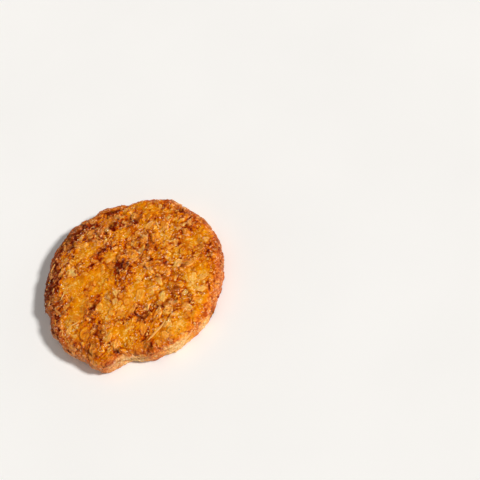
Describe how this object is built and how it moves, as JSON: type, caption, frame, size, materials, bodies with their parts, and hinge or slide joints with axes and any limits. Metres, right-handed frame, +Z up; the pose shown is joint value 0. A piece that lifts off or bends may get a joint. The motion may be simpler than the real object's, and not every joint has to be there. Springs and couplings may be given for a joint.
{
  "type": "oatmeal cookie",
  "caption": "Round oatmeal cookie in one piece: flat base, rough browned wall, rounded edge and a low golden dome with rolled oats baked into it.",
  "frame": {"origin": "middle of the footprint's bounding box, on the plane the cookie rests on", "axes": "+Z up through the thickness; +X and +Y in the plane of the base, with the bulge of the edge towards -Y"},
  "size_m": [0.0672, 0.067, 0.0101],
  "materials": {
    "baked_oat_dough": "satin"
  },
  "bodies": {
    "root": {"cookie": "baked_oat_dough"}
  },
  "joints": []
}
